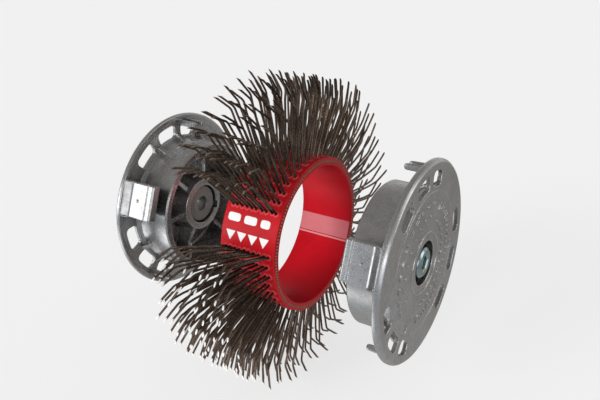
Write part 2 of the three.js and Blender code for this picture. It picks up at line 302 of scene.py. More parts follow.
def boolean(ob, parts, operation):
    """Changes ob by the joined parts."""
    tool = solid("tool", join(parts))
    for solver in ("MANIFOLD", "EXACT"):
        m = ob.modifiers.new("boolean", "BOOLEAN")
        m.operation, m.object, m.solver = operation, tool, solver
        bpy.context.view_layer.update()
        depsgraph = bpy.context.evaluated_depsgraph_get()
        mesh = bpy.data.meshes.new_from_object(ob.evaluated_get(depsgraph))
        ob.modifiers.clear()
        # guards against a solver that loses most of the piece
        if len(mesh.vertices) > 0.3 * len(ob.data.vertices):
            break
        bpy.data.meshes.remove(mesh)
    old = ob.data
    ob.data = mesh
    bpy.data.meshes.remove(old)
    bpy.data.objects.remove(tool)


def shade(ob, angle=34, weighted=True):
    """Smooth shading with sharp edges above the angle."""
    ob.data.polygons.foreach_set("use_smooth", [True] * len(ob.data.polygons))
    ob.data.set_sharp_from_angle(angle=angle * DEG)
    if weighted:
        m = ob.modifiers.new("normals", "WEIGHTED_NORMAL")
        m.mode, m.weight, m.keep_sharp = "FACE_AREA", 60, True


def place(ob, x, mirrored=False):
    """Moves the local x = 0 of a piece to x on the axis."""
    sign = -1 if mirrored else 1
    for v in ob.data.vertices:
        v.co.x = x * MM + sign * v.co.x
    if mirrored:
        ob.data.flip_normals()
    ob.data.update()


def register(ob, group, node=None):
    """Hides the CAD piece that this replaces, if any, and hangs this on the body it rides on."""
    if node:
        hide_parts(node)
    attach(ob, group)


# ---------------------------------------------------------------- node graphs
class Graph:
    """A node tree with short forms. A value is a socket to link, a number or a colour."""

    def __init__(self, tree):
        self.tree = tree

    def plug(self, socket, value):
        if isinstance(value, bpy.types.NodeSocket):
            self.tree.links.new(value, socket)
        elif isinstance(value, tuple) and socket.type == "RGBA":
            socket.default_value = (*value, 1)
        elif value is not None:
            socket.default_value = value

    def fill(self, node, settings):
        """Settings name inputs, with _ for a space, or attributes of the node."""
        for name, value in settings.items():
            label = name.replace("_", " ")
            if label in node.inputs:
                self.plug(node.inputs[label], value)
            else:
                setattr(node, name, value)

    def add(self, kind, *values, **settings):
        node = self.tree.nodes.new(kind)
        self.fill(node, settings)
        for i, value in enumerate(values):
            self.plug(node.inputs[i], value)
        return node

    def remap(self, value, over, to=(0, 1), **settings):
        return self.add("ShaderNodeMapRange", From_Min=over[0], From_Max=over[1], To_Min=to[0],
                        To_Max=to[1], Value=value, **settings).outputs["Result"]

    def calc(self, operation, a, b=0.0):
        return self.add("ShaderNodeMath", a, b, operation=operation).outputs[0]

    def mix(self, factor, under, over, blend="MIX"):
        node = self.add("ShaderNodeMix", data_type="RGBA", blend_type=blend)
        for i, value in ((0, factor), (6, under), (7, over)):
            self.plug(node.inputs[i], value)
        return node.outputs[2]


class Material(Graph):
    """A material on the principled shader, textured in object space. Lengths are in mm."""

    def __init__(self, name):
        self.material = bpy.data.materials.new(name)
        self.material.use_nodes = True
        super().__init__(self.material.node_tree)

    @cached_property
    def coords(self):
        return self.add("ShaderNodeTexCoord").outputs["Object"]

    def axes(self):
        return self.add("ShaderNodeSeparateXYZ", self.coords).outputs

    def noise(self, scale, detail, roughness=0.55, stretch=None):
        source = self.coords
        if stretch:
            source = self.add("ShaderNodeMapping", Scale=stretch, Vector=source).outputs["Vector"]
        return self.add("ShaderNodeTexNoise", Scale=scale, Detail=detail, Roughness=roughness,
                        Vector=source).outputs["Fac"]

    def bump(self, height, strength, distance, normal=None):
        return self.add("ShaderNodeBump", Strength=strength, Distance=distance * MM,
                        Height=height, Normal=normal).outputs["Normal"]

    def bevel(self, radius):
        return self.add("ShaderNodeBevel", samples=6, Radius=radius * MM).outputs["Normal"]

    def edge(self, bevel_normal):
        """0 on faces, towards 1 on sharp edges."""
        normal = self.add("ShaderNodeNewGeometry").outputs["Normal"]
        dot = self.add("ShaderNodeVectorMath", bevel_normal, normal, operation="DOT_PRODUCT")
        return self.remap(dot.outputs["Value"], over=(0.995, 0.86))

    def times(self, value, factor):
        return self.calc("MULTIPLY", value, factor)

    def corner_shade(self, reach, strength):
        """Mask for painted shade: 0 in the open, towards strength in corners."""
        node = self.add("ShaderNodeAmbientOcclusion", samples=6, Distance=reach * MM)
        openness = self.remap(node.outputs["AO"], over=(0.35, 1.0))
        return self.times(self.remap(openness, over=(0, 1), to=(1, 0)), strength)

    def surface(self, **settings):
        self.fill(self.tree.nodes["Principled BSDF"], settings)
        return self.material


# ---------------------------------------------------------------- materials
def cast_aluminium():
    m = Material("cast aluminium")
    dull, bright = (0.64, 0.63, 0.62), (0.74, 0.74, 0.75)
    stain, painted_shade, wear_and_highlight = (0.46, 0.445, 0.43), (0.12, 0.11, 0.105), (0.93, 0.93, 0.93)
    patches = m.noise(scale=70, detail=3)
    mottle = m.noise(scale=420, detail=5, roughness=0.6)
    grain = m.noise(scale=2600, detail=3, roughness=0.6)
    bevel = m.bevel(radius=0.35)
    edge = m.edge(bevel)
    colour = m.mix(m.remap(patches, over=(0.35, 0.65)), dull, bright)
    colour = m.mix(m.remap(mottle, over=(0.42, 0.72), to=(0, 0.5)), colour, stain)
    # painted shade: corners and hollows within 7 mm are darkened towards a near-black grey
    colour = m.mix(m.corner_shade(reach=7.0, strength=0.8), colour, painted_shade)
    # edges painted lighter: partly rubbed wear, partly a painted highlight
    colour = m.mix(m.times(edge, factor=0.85), colour, wear_and_highlight)
    rough = m.calc("ADD", m.remap(mottle, over=(0.3, 0.7), to=(0.21, 0.34)),
                   m.times(edge, factor=-0.06))
    height = m.calc("ADD", m.times(grain, factor=0.45), mottle)
    return m.surface(Base_Color=colour, Metallic=0.93, Roughness=rough,
                     Normal=m.bump(height, strength=0.16, distance=0.08, normal=bevel))


def turned_steel():
    m = Material("bush steel")
    steel, painted_shade = (0.50, 0.49, 0.48), (0.10, 0.09, 0.085)
    lines = m.noise(scale=900, detail=2, roughness=0.5, stretch=(3.0, 0.25, 0.25))
    normal = m.bump(lines, strength=0.12, distance=0.05, normal=m.bevel(radius=0.2))
    # painted shade: hollows within 4 mm are darkened towards a near-black grey
    return m.surface(Base_Color=m.mix(m.corner_shade(reach=4.0, strength=0.7), steel, painted_shade),
                     Metallic=1.0, Roughness=m.remap(lines, over=(0.3, 0.7), to=(0.22, 0.42)),
                     Normal=normal)


def zinc():
    m = Material("blue zinc plate")
    blue, green, wear_and_highlight = (0.42, 0.56, 0.60), (0.60, 0.66, 0.60), (0.85, 0.92, 0.95)
    tint = m.noise(scale=260, detail=3)
    bevel = m.bevel(radius=0.18)
    colour = m.mix(m.remap(tint, over=(0.35, 0.65)), blue, green)
    # edges painted lighter blue-white: partly rubbed wear, partly a painted highlight
    colour = m.mix(m.times(m.edge(bevel), factor=0.5), colour, wear_and_highlight)
    grain = m.noise(scale=1800, detail=2)
    return m.surface(Base_Color=colour, Metallic=1.0,
                     Roughness=m.remap(tint, over=(0.3, 0.7), to=(0.16, 0.30)),
                     Normal=m.bump(grain, strength=0.1, distance=0.04, normal=bevel))


def plastic(name, base, deep, rough, bump, coat=0.05, specular=0.32):
    """Clouded plastic, with the deep colour also painted into corners as shade."""
    m = Material(name)
    cloud = m.noise(scale=90, detail=3)
    fine = m.noise(scale=1500, detail=4, roughness=0.6)
    sag = m.noise(scale=260, detail=2, roughness=0.5)
    colour = m.mix(m.remap(cloud, over=(0.35, 0.65), to=(0, 0.35)), base, deep)
    # painted shade: the deep colour is also painted into corners and hollows
    colour = m.mix(m.corner_shade(reach=3.5, strength=0.5), colour, deep)
    normal = m.bump(sag, strength=0.22, distance=0.25)
    normal = m.bump(fine, strength=bump, distance=0.05, normal=normal)
    return m.surface(Base_Color=colour, Normal=normal,
                     Roughness=m.remap(fine, over=(0.3, 0.7), to=(rough - 0.05, rough + 0.12)),
                     Specular_IOR_Level=specular, Coat_Weight=coat, Coat_Roughness=0.22, IOR=1.5)


def woven():
    """Threads across the edge of the ply, dark and light round the axis."""
    m = Material("woven ply")
    dark, light = (0.050, 0.026, 0.016), (0.40, 0.27, 0.17)
    axes = m.axes()
    angle = m.calc("ARCTAN2", axes["Z"], axes["Y"])
    threads = m.calc("SINE", m.times(angle, factor=150.0))
    jitter = m.remap(m.noise(scale=900, detail=3), over=(0, 1), to=(-0.8, 0.8))
    weave = m.remap(m.calc("ADD", threads, jitter), over=(-0.5, 0.6))
    return m.surface(Base_Color=m.mix(weave, dark, light), Roughness=0.8)


def white_print():
    m = Material("white print")
    return m.surface(Base_Color=(0.86, 0.85, 0.85), Roughness=0.42, Metallic=0.0)


def wire_metal():
    m = Material("bristle wire")
    brown, tan, soot = (0.135, 0.090, 0.068), (0.290, 0.215, 0.165), (0.060, 0.045, 0.038)
    patches = m.noise(scale=160, detail=2)
    fine = m.noise(scale=1400, detail=4, roughness=0.65)
    colour = m.mix(m.remap(patches, over=(0.35, 0.65)), brown, tan)
    colour = m.mix(m.remap(fine, over=(0.52, 0.75), to=(0, 0.2)), colour, soot)
    return m.surface(Base_Color=colour, Metallic=0.9,
                     Roughness=m.remap(fine, over=(0.3, 0.7), to=(0.22, 0.34)),
                     Normal=m.bump(fine, strength=0.08, distance=0.02))


def cut_end():
    """Cut ends, near white as fresh steel with a painted glint; painted shade makes them duller
    towards the top of the brush.
    """
    m = Material("cut wire end")
    bright, dull = (0.95, 0.94, 0.92), (0.27, 0.21, 0.17)
    # painted shade: ends higher than 12 to 26 mm in Z turn dull, the lower ones keep the painted
    # glint
    shaded_upper = m.remap(m.axes()["Z"], over=(0.012, 0.026))     # metres
    return m.surface(Base_Color=m.mix(shaded_upper, bright, dull), Metallic=0.35, Roughness=0.38)


MAT_AL = cast_aluminium()
MAT_BUSH = turned_steel()
MAT_ZINC = zinc()
MAT_RED = plastic("red plastic", base=(0.52, 0.005, 0.013), deep=(0.33, 0.002, 0.006),
                  rough=0.32, bump=0.10)
MAT_PUCKER = plastic("red plastic, stretched", base=(0.70, 0.055, 0.065),
                     deep=(0.30, 0.008, 0.012), rough=0.36, bump=0.2)
MAT_RED_IN = plastic("red plastic, inside", base=(0.60, 0.004, 0.014),
                     deep=(0.36, 0.002, 0.006), rough=0.34, bump=0.06, coat=0.0, specular=0.22)
MAT_WEAVE = woven()
MAT_STRIP = plastic("pale strip", base=(0.74, 0.22, 0.25), deep=(0.66, 0.15, 0.18),
                    rough=0.30, bump=0.12)
MAT_BEAD = plastic("pale strip edge", base=(0.85, 0.33, 0.35), deep=(0.78, 0.25, 0.27),
                   rough=0.28, bump=0.08)
MAT_WHITE = white_print()
MAT_WIRE = wire_metal()
MAT_CUT = cut_end()


# ------------------------------------------------------------- hub castings
# Local frame: x = 0 on the inner face of the flange, the drum towards +x. The outer hub is
# mirrored when placed.
HUB_SEGMENTS = 192

# section points (radius, x, corner radius): flange, rim and drum, the same on both hubs
RIM = [(35.5, -FLANGE_T, 0.9), (36.5, -2.0, 0.9), (36.5, -0.4, 0.55), (34.5, -0.4, 0.5),
       (33.5, -1.3, 0.5), (27.2, -1.3, 0.7), (26.2, 0.3, 0.6), (26.2, 13.3, 0.4),
       (25.7, 13.9, 0.4), (23.4, 13.9, 0.5)]
OUTER_SECTION = [(3.5, 1.0, 0.3), (7.9, 1.0, 0.5), (7.9, -FLANGE_T, 0.45), *RIM,
                 (22.9, 0, 1.2), (10.6, 0, 1.0), (9.0, 4.6, 0.6), (6.3, 5.0, 0.6),
                 (6.3, 13.0, 0.5), (3.5, 13.0, 0.3)]
INNER_SECTION = [(8.0, -FLANGE_T, 0.4), *RIM,
                 (22.9, 0, 1.4), (11.4, 0, 1.2), (10.8, 10.5, 0.5), (8.0, 10.5, 0.4)]

# outlines (x, radius, corner radius)
LUG_OUTLINE = [(-2.2, 29.9, 0), (11.9, 29.9, 0.5), (12.6, 30.6, 0.5), (12.6, 33.3, 0.5),
               (12.0, 33.9, 0.5), (2.2, 33.9, 2.2), (-0.25, 35.5, 0.5), (-2.2, 35.5, 0)]
OUTER_RIB = [(1.6, 6.0, 0), (8.6, 6.0, 0.6), (6.4, 15.0, 2.6), (8.6, 23.7, 0.6),
             (-0.6, 23.7, 0), (-0.6, 9.7, 0)]
INNER_RIB = [(-0.6, 9.9, 0), (8.6, 9.9, 0.6), (6.4, 17.0, 2.6), (8.6, 23.7, 0.6),
             (-0.6, 23.7, 0)]
GUSSET = [(-2.0, 25.4, 0), (2.4, 25.4, 0), (2.4, 26.4, 0.4), (-0.6, 28.8, 0.7), (-2.0, 28.8, 0)]
GUSSET_ANGLES = (46.0, 70.4, 97.0, 165.0)       # on both sides of the lug
LUG_GROOVE = [(9.55, 33.6), (10.15, 33.6), (10.35, 34.6), (9.35, 34.6)]     # (x, radius)

PRONG_R, PRONG_HALF_R, PRONG_HALF_T, PRONG_CORNER = 33.1, 1.2, 0.8, 0.55
PRONG_ANGLES = (71.25, 78.75)
PRONG_TAPER = [(-2.2, 1.12), (-0.6, 1.08), (0.6, 1.0), (6.2, 0.93),     # (x, scale)
               (6.9, 0.86), (7.25, 0.70), (7.4, 0.45)]

SLOT_R0, SLOT_R1, SLOT_CORNER = 27.3, 32.6, 1.7
SLOTS = [(33, 9.2), (59, 9.2), (81.5, 7.4), (150, 9.2)]     # (angle from the lug, half angle)

PIP = [(0, 0.62), (0.52, 0.6), (0.66, 0.42), (0.70, 0.2)]   # (height, radius)
TICK_H = 0.45
# count, first angle from the lug, step, radius, length outwards, the same for every 4th, around
TICKS = [(25, 98, 6.8, 20.6, 1.9, 3.4, 0.8),
         (11, -82, 13.0, 21.4, 1.1, 1.1, 2.9),
         (9, -76, 15.0, 17.2, 0.95, 0.95, 0.95),
         (13, 103, 12.6, 15.4, 1.0, 1.0, 1.9)]
# (radius, x)
FACE_RING = [(10.9, -2.6), (10.9, -3.22), (11.05, -3.3), (11.35, -3.3), (11.5, -3.22),
             (11.5, -2.6)]
FACE_GROOVE = [(25.55, -4.0), (25.95, -4.0), (25.85, -2.86), (25.65, -2.86)]


def mouth_stations(x0, x1, radius, steps=4):
    """Stations (x, growth) of a cutter through x0..x1 that rounds both mouths."""
    curve = []
    for k in range(steps + 1):
        depth = radius * (1 - math.cos(90 * DEG * k / steps))
        growth = radius - math.sqrt(max(0, radius * radius - (radius - depth) ** 2))
        curve.append((depth, growth))
    return ([(x0 - 1.0, radius)] + [(x0 + depth, growth) for depth, growth in curve]
            + [(x1 - depth, growth) for depth, growth in reversed(curve)] + [(x1 + 1.4, radius)])


def prong():
    """Slightly tapered, round on top."""
    rings = []
    for x, k in PRONG_TAPER:
        base = rect(PRONG_R - PRONG_HALF_R * k, PRONG_R + PRONG_HALF_R * k,
                    -PRONG_HALF_T * k, PRONG_HALF_T * k, PRONG_CORNER * k)
        rings.append([(x, r, t) for r, t in rounded(base, 3)])
    return loft(rings)


def hub_additions(outer):
    """Clamp lug, prongs, ribs between boss and drum, gussets against the drum."""
    parts = [turn(soft_block(rounded(LUG_OUTLINE, 3), 13.8, edge=0.6), LUG)]
    for side in (1, -1):
        for angle in PRONG_ANGLES:
            parts.append(turn(prong(), LUG + side * angle - 1.5))
    rib = soft_block(rounded(OUTER_RIB if outer else INNER_RIB, 3), 1.6, edge=0.3, steps=2)
    parts += [turn(rib, LUG + 30 + 60 * k) for k in range(6)]
    gusset = soft_block(rounded(GUSSET, 3), 2.0, edge=0.5)
    for angle in GUSSET_ANGLES:
        parts += [turn(gusset, LUG + side * angle) for side in (1, -1)]
    return parts


def hub_openings(outer):
    """Slots with round mouths; on the inner hub also the window behind the lug."""
    stations = mouth_stations(-FLANGE_T, -1.3, 0.36)
    places = [(LUG + side * angle, half) for side in (1, -1) for angle, half in SLOTS]
    places.append((LUG + 180, 9.2))
    parts = [arc_slot(angle, half, SLOT_R0, SLOT_R1, SLOT_CORNER, stations)
             for angle, half in places]
    if not outer:
        parts.append(arc_slot(LUG, 8.4, 27.45, 29.6, 0.5, [(-4.0, 0), (1.4, 0)], arc_steps=3))
    return parts


def hub_fine_cuts(outer):
    """Groove across the lug, key slot or face groove, and three shallow round marks."""
    parts = [turn(soft_block(LUG_GROOVE, 15.5, edge=0.02, steps=1), LUG)]
    if not outer:
        key_slot = soft_block(rounded(rect(-4.0, 11.5, 6.5, 9.4)), 3.0, edge=0.05, steps=1)
        parts.append(turn(key_slot, LUG + 180))
    first, radius = (74.0, 23.6) if outer else (100, 24.6)
    mark = loft([circle(-FLANGE_T - 1, 1.75, 15, y=radius),
                 circle(-FLANGE_T + 0.16, 1.65, 15, y=radius)])
    parts += [turn(mark, LUG + first + 120 * k) for k in range(3)]
    if outer:
        parts.append(lathe(FACE_GROOVE, HUB_SEGMENTS))
    return parts


def tick(radius, radial, around):
    """Raised rounded bar on the flange face."""
    rings = []
    for x, inset in ((-2.6, 0), (-FLANGE_T - TICK_H * 0.6, 0),
                     (-FLANGE_T - TICK_H * 0.92, 0.08), (-FLANGE_T - TICK_H, 0.2)):
        base = rect(radius - radial / 2 + inset, radius + radial / 2 - inset,
                    -around / 2 + inset, around / 2 - inset,
                    max(0.05, min(radial, around) * 0.42 - inset))
        rings.append([(x, r, t) for r, t in rounded(base, 2)])
    return loft(rings)


def hub_relief(outer):
    """Pip on the lug; on the outer hub also plain raised marks and a ring."""
    pip = loft([[(5.6 + q * math.cos(t * DEG), 33.5 + h, q * math.sin(t * DEG))
                 for t in range(0, 360, 30)] for h, q in PIP])
    parts = [turn(pip, LUG)]
    if outer:
        for count, first, step, radius, radial, fourth, around in TICKS:
            for k in range(count):
                bar = tick(radius, radial if k % 4 else fourth, around)
                parts.append(turn(bar, LUG + first + k * step))
        parts.append(lathe(FACE_RING, HUB_SEGMENTS))
    return parts


def build_hub(name, outer):
    section = rounded(OUTER_SECTION if outer else INNER_SECTION)
    ob = solid(f"{name}_body", lathe(split(section, 3.2), HUB_SEGMENTS), [MAT_AL])
    boolean(ob, hub_additions(outer), "UNION")
    boolean(ob, hub_openings(outer), "DIFFERENCE")
    boolean(ob, hub_fine_cuts(outer), "DIFFERENCE")
    boolean(ob, hub_relief(outer), "UNION")
    place(ob, X_OUTER if outer else X_INNER, mirrored=outer)
    shade(ob)
    register(ob, name, f"{name}_casting")


# ------------------------------------------------------- bush, washer, screw
# sections (radius, x, corner radius)
BUSH = [(5.0, -4.0, 0.4), (7.7, -4.0, 0.5), (7.7, 9.0, 0.3), (7.2, 9.5, 0.3), (3.1, 9.5, 0.35),
        (3.1, 3.2, 0.2), (5.0, 2.6, 0.3)]
WASHER = [(3.4, -0.75, 0.15), (6.6, -0.75, 0.2), (7.3, -0.35, 0.15), (7.0, 0.0, 0.15),
          (3.4, 0.0, 0.15)]
SCREW_HEAD = [(0, 3.05, 0), (4.7, 3.05, 0.35), (5.6, 2.3, 0.5), (5.6, 0.35, 0.2),
              (5.35, 0.15, 0.15), (2.2, 0.15, 0), (2.2, -1.0, 0), (0, -1.0, 0)]
HEX_SOCKET = [(0.9, 0.6), (1.35, 2.9), (2.55, 2.9), (3.06, 3.45), (4.2, 3.45)]  # (x, radius)
SHANK_R, SHANK_L, THREAD_DEPTH, THREAD_PITCH = 3.0, 25.0, 0.52, 1.0


def build_bush():
    ob = solid("drive_bush_body", lathe(split(rounded(BUSH), 3), 128), [MAT_BUSH])
    lug = soft_block(rounded(rect(-3.9, 2.4, 4.2, 6.0)), 5.4, edge=0.2, steps=2)
    key = soft_block(rounded(rect(-2.4, 8.8, 6.6, 9.0)), 2.4, edge=0.25, steps=2)
    boolean(ob, [turn(lug, 90), turn(lug, 270), turn(key, LUG + 180)], "UNION")
    place(ob, X_INNER)
    shade(ob)
    register(ob, "inner_hub", "drive_bush")


def build_washer():
    ob = solid("cup_washer_body", lathe(rounded(WASHER, 3), 128), [MAT_ZINC])
    place(ob, X_OUTER)
    shade(ob)
    register(ob, "washer", "cup_washer")


def threaded_shank(around=48, per_mm=10):
    """Helical ridge that fades in below the head, with a tapered end."""
    rings = []
    for i in range(int(SHANK_L * per_mm) + 1):
        x = 0.3 - i / per_mm
        fade = max(0.0, min(1.0, (-x - 3.0) / 1.5))
        taper = 0.55 * max(0.0, 1 - (x + SHANK_L))
        ring = []
        for s in range(around):
            a = 2 * math.pi * s / around
            phase = (x + s / around) % THREAD_PITCH
            ridge = max(0.0, min(1.0, (1 - abs(phase * 2 - 1) - 0.15) / 0.7))
            r = SHANK_R - THREAD_DEPTH * (1 - ridge) * fade - taper
            ring.append((x, r * math.cos(a), r * math.sin(a)))
        rings.append(ring)
    return loft(rings)


def build_screw():
    ob = solid("clamp_screw_body", lathe(rounded(SCREW_HEAD), 96, closed=False), [MAT_ZINC])
    boolean(ob, [loft([circle(x, r, 60) for x, r in HEX_SOCKET])], "DIFFERENCE")
    boolean(ob, [threaded_shank()], "UNION")
    place(ob, X_OUTER)
    shade(ob, 40)
    register(ob, "screw", "clamp_screw")


build_hub("inner_hub", outer=False)
build_hub("outer_hub", outer=True)
build_bush()
build_washer()
build_screw()

# --------------------------------------------------------------------- belt
ROW_XS = [-9.3, -7.5, -5.3, -3.4, -1.2, 0.7, 2.9, 4.8, 7.0, 8.7]    # mirrored on every other row
LIP = [(1.35, -0.10), (1.05, 0.10), (0.80, 0.25),       # (radius, height over the belt)
       (0.62, 0.27), (0.50, 0.16), (0.45, -0.30)]
LIP_SIDES = 12

# plates: first and last angle from the splice, first and last x, inner and outer radius,
# eased edge, corner radius
SPLICE_PLATES = [(-7.0, 9.2, -11.2, 11.2, 26.38, 26.9, 0.10, 0.5),
                 (-5.6, -0.4, -4.3, -0.6, 26.27, 26.6, 0.06, 0.2),
                 (2.2, 2.9, -11.0, 11.0, 26.33, 26.6, 0.04, 0.12)]
BEAD_PLATES = [(-9.3, -7.7, -11.2, 11.2, 26.30, 26.9, 0.10, 0.35)]
PADS = [(-14.2, -7.5, -3.5), (-17.6, -9.0, -4.4),       # (middle angle, first x, last x)
        (-20.4, -7.0, -5.0), (-15.6, -2.2, 0.4)]
PAD_PLATES = [(a - 1.0, a + 1.0, x0, x1, 26.44, 26.7, 0.05, 0.3) for a, x0, x1 in PADS]


def row_angle(k):
    return LUG + FIRST_ROW + ROW_PITCH * k


def is_end_row(k):
    return k in (0, ROWS - 1)


def scatter_wires():
    """Place (x, angle) of every wire, by row."""
    rows = []
    for k in range(ROWS):
        row = []
        for x in ROW_XS if k % 2 else [-x for x in ROW_XS]:
            x += rng.uniform(-0.20, 0.20)
            row.append((x, row_angle(k) + rng.uniform(-0.3, 0.3) * (0.3 if is_end_row(k) else 1)))
        rows.append(row)
    return rows


def belt_ring(name, section, segments, materials, node, angle=40, weighted=True, wave=None):
    part = lathe(split(rounded(section), 2.4), segments, wave=wave)
    ob = solid(name, to_belt(part), materials)
    shade(ob, angle, weighted)
    register(ob, "belt", node)
    return ob


def lip(x, degrees):
    """Pucker of the belt round one wire."""
    size = rng.uniform(0.86, 1.12)
    rings = []
    for radius, height in LIP:
        ring = []
        for s in range(LIP_SIDES):
            a = 2 * math.pi * s / LIP_SIDES
            r = BELT_R + height * size
            t = degrees * DEG + radius * size * math.sin(a) * 1.12 / BELT_R
            across = radius * size * math.cos(a)
            ring.append((X_BELT + x + across, r * math.cos(t), r * math.sin(t)))
        rings.append(ring)
    return loft(rings)


def frayed(angle, r, x):
    wave = math.sin(angle * 150) * 0.07 + math.sin(angle * 61 + 1.3) * 0.03
    return r + wave * 0.35, x + (wave if x > 0 else -wave)


def belt_plates(name, plates, material, node=None):
    parts = [belt_plate(SPLICE + a0, SPLICE + a1, *rest) for a0, a1, *rest in plates]
    ob = solid(name, join(parts), [material])
    shade(ob, 40, weighted=False)
    register(ob, "belt", node)


wires = scatter_wires()
outer_ply = belt_ring("belt_outer_band",
                      rect(28.35, BELT_R, -BELT_HALF, BELT_HALF, low=0.12, high=0.35),
                      256, [MAT_RED, MAT_PUCKER], "belt_outer_ply")
lips = solid("belt_wire_lips", join([lip(x, deg) for row in wires for x, deg in row]),
             [MAT_PUCKER])
register(lips, "belt")
belt_ring("belt_woven_edge",
          rect(27.78, 28.32, -BELT_HALF - 0.05, BELT_HALF + 0.05, low=0.12), 900, [MAT_WEAVE],
          "belt_woven_ply", angle=60, weighted=False, wave=frayed)
inner_ply = belt_ring("belt_inner_band",
                      rect(26.5, 27.75, -BELT_HALF, BELT_HALF, low=0.35, high=0.12),
                      256, [MAT_RED_IN], "belt_inner_ply")
belt_plates("belt_splice_band", SPLICE_PLATES, MAT_STRIP, "belt_splice_strip")
belt_plates("belt_splice_bead", BEAD_PLATES, MAT_BEAD)
belt_plates("belt_inside_pads", PAD_PLATES, MAT_RED_IN)

# -------------------------------------------------------------------- print
# Plain bars and arrow heads on the bare part of the belt, over the lug.
BARS = [(-6.9, 2.6), (0.0, 2.6), (6.2, 1.9)]        # (middle x, half length)
BAR_HALF_T, BAR_CORNER, BAR_ANGLE = 1.45, 0.9, -6.4
ARROW_X0, ARROW_PITCH, ARROW_HALF_T, ARROW_ANGLE = -7.4, 4.7, 1.7, 6.2


def print_mark(degrees, middle_x, half_t, half_width):
    """Thin curved plate; half_width(t) is its half size along X at the tangent place t."""
    low, high = ROOT_R, BELT_R + 0.07
    rings = []
    for i in range(15):
        t = -half_t + 2 * half_t * i / 14
        a = degrees * DEG + t / BELT_R
        c, s = math.cos(a), math.sin(a)
        x0, x1 = X_BELT + middle_x - half_width(t), X_BELT + middle_x + half_width(t)
        rings.append([(x, r * c, r * s)
                      for x, r in ((x0, high), (x1, high), (x1, low), (x0, low))])
    return loft(rings)


def bar(middle_x, half_length):
    def half_width(t):
        past = max(0, abs(t) - (BAR_HALF_T - BAR_CORNER))
        return half_length - BAR_CORNER + math.sqrt(max(0, BAR_CORNER ** 2 - past ** 2))

    return print_mark(LUG + BAR_ANGLE, middle_x, BAR_HALF_T, half_width)


def arrow_half_width(t):
    """Solid arrow head with blunted corners."""
    point = 1.95 * (1.85 - t) / (2 * ARROW_HALF_T)
    corner = 1.85 + (t + ARROW_HALF_T) * 0.9
    return min(point, corner) * (1.0 if t < 1.4 else 0.9)


def build_print():
    parts = [bar(*size) for size in BARS]
    parts += [print_mark(LUG + ARROW_ANGLE, ARROW_X0 + ARROW_PITCH * i, ARROW_HALF_T,
                         arrow_half_width) for i in range(4)]
    ob = solid("belt_print_marks", join(parts), [MAT_WHITE])
    shade(ob, 40, weighted=False)
    register(ob, "belt")


build_print()

# ------------------------------------------------------------------ bristles
WIRE_SIDES, WIRE_R = 8, 0.40
KNEE_R, KNEE_BEND_R = 51.3, 3.2     # how far out the knee is, and the radius of its bend
SHANK_STATIONS = (0.03, 0.12, 0.25, 0.40, 0.56, 0.72, 0.87)


def wire_path(end_row, x0):
    """Middle line in (x, radius, tangent): a shank that leans back, a knee, a tip bent forward."""
    knee = KNEE_R + rng.uniform(-0.9, 0.8)
    lean = (-12.8 + x0 * 0.15 + rng.gauss(0, 1.5)) * DEG
    if end_row:
        lean = max(lean, -14.0 * DEG)
    flare = x0 * 0.38 - 2.4 + rng.gauss(0, 0.55)
    bow_t, bow_x = rng.gauss(-0.45, 0.30), rng.gauss(0, 0.22)
    bend = (38 + rng.gauss(0, 4.5)) * DEG
    twist = rng.gauss(0, 6) * DEG + x0 * 1.0 * DEG
    tip = 6.9 + rng.uniform(-0.7, 0.6)
    curl = rng.gauss(0.10, 0.12)

    span = knee - ROOT_R
    straight = span - KNEE_BEND_R * math.tan(bend / 2) * math.cos(lean)
    slope_x = flare / span
    twist_x, twist_t = math.sin(twist), math.cos(twist)

    def leaned(ahead, aside):
        """(radius, tangent) of a step along the shank and sideways in the plane of the bend."""
        return (ahead * math.cos(lean) - aside * twist_t * math.sin(lean),
                ahead * math.sin(lean) + aside * twist_t * math.cos(lean))

    path = [(x0, 27.9, 0.20), (x0, 28.9, 0.12)]
    for s in SHANK_STATIONS:
        bow = math.sin(math.pi * s)
        r = straight * s
        path.append((x0 + flare * s * s ** 0.15 + bow_x * bow * s, ROOT_R + r,
                     math.tan(lean) * r + bow_t * bow * s * (0.3 if end_row else 1.0)))
    x, r, t = x0 + flare * straight / span, ROOT_R + straight, math.tan(lean) * straight
    bend_steps = 6
    for i in range(bend_steps + 1):
        a = bend * i / bend_steps
        ahead, aside = KNEE_BEND_R * math.sin(a), KNEE_BEND_R * (1 - math.cos(a))
        dr, dt = leaned(ahead, aside)
        path.append((x + twist_x * aside + slope_x * ahead, r + dr, t + dt))
    x, r, t = path[-1]
    dr, dt = leaned(math.cos(bend), math.sin(bend))
    dx = twist_x * math.sin(bend) + slope_x * 0.8
    for q in (0.35, 0.72, 1.0):
        d, c = tip * q, curl * q * q
        path.append((x + dx * d, r + dr * d - c * dt, t + dt * d + c * dr))
    return [Vector(p) for p in path]


def wire(end_row, x0, degrees):
    path = wire_path(end_row, x0)
    slant = rng.uniform(1.8, 2.7)
    last = len(path) - 1
    rings = []
    for i, p in enumerate(path):
        before = path[last - 2] if i == last else path[max(i - 1, 0)]
        along = (path[min(i + 1, last)] - before).normalized()
        side = Vector((1, 0, 0))
        side = (side - along * side.dot(along)).normalized()
        other = along.cross(side)
        ring = []
        for s in range(WIRE_SIDES):
            a = 2 * math.pi * s / WIRE_SIDES
            offset = side * (WIRE_R * math.cos(a)) + other * (WIRE_R * math.sin(a))
            if i == last:
                # long slanted cut, its face turned outwards
                outward = Vector((0, 1, -0.35))
                outward = (outward - along * outward.dot(along)).normalized()
                offset = offset - along * ((offset.dot(outward) + WIRE_R) * slant)
            ring.append(p + offset)
        rings.append(ring)
    return to_belt(turn(loft(rings), degrees))


